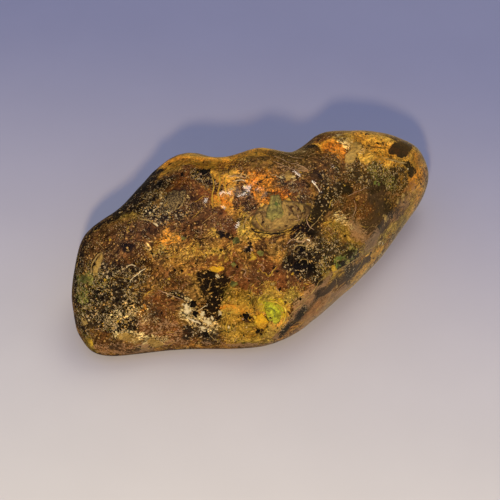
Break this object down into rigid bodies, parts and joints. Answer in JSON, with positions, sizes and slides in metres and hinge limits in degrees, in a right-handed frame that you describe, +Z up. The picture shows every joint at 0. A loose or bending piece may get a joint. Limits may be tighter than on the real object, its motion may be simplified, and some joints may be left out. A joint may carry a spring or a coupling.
{
  "type": "raw copal lump",
  "caption": "Free-form lump of hardened tree resin with a worn, glossy surface and a flat underside to rest on.",
  "frame": {"origin": "on the resting plane, under the middle of the lump's length and width", "axes": "+X along the lump towards its narrower end, +Z up from the flat it rests on"},
  "size_m": [0.07, 0.0376, 0.023],
  "materials": {
    "resin": "worn smooth and glossy"
  },
  "bodies": {
    "root": {"copal": "resin"}
  },
  "joints": []
}
